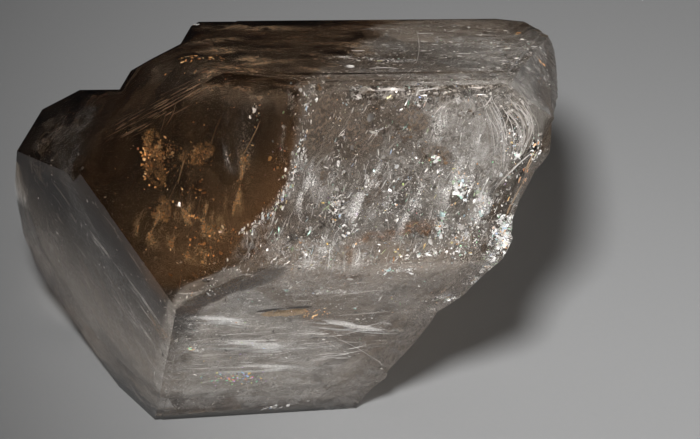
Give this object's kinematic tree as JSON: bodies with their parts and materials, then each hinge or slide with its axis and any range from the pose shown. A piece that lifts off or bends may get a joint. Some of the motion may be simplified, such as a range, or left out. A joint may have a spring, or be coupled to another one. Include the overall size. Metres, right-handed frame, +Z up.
{
  "type": "herkimer diamond",
  "caption": "Large smoky, heavily included herkimer diamond: a stubby double-ended quartz crystal with a small parallel crystal at its side and one end broken off.",
  "frame": {"origin": "middle of the outline seen from above, on the surface that the crystal rests on", "axes": "+X across the front from the small crystal to the broken end, +Y to the back, +Z up"},
  "size_m": [0.094, 0.0848, 0.0796],
  "materials": {
    "crystal": "polished natural faces, glassy, smoky brown to clear"
  },
  "bodies": {
    "root": {"crystal": "crystal"}
  },
  "joints": []
}
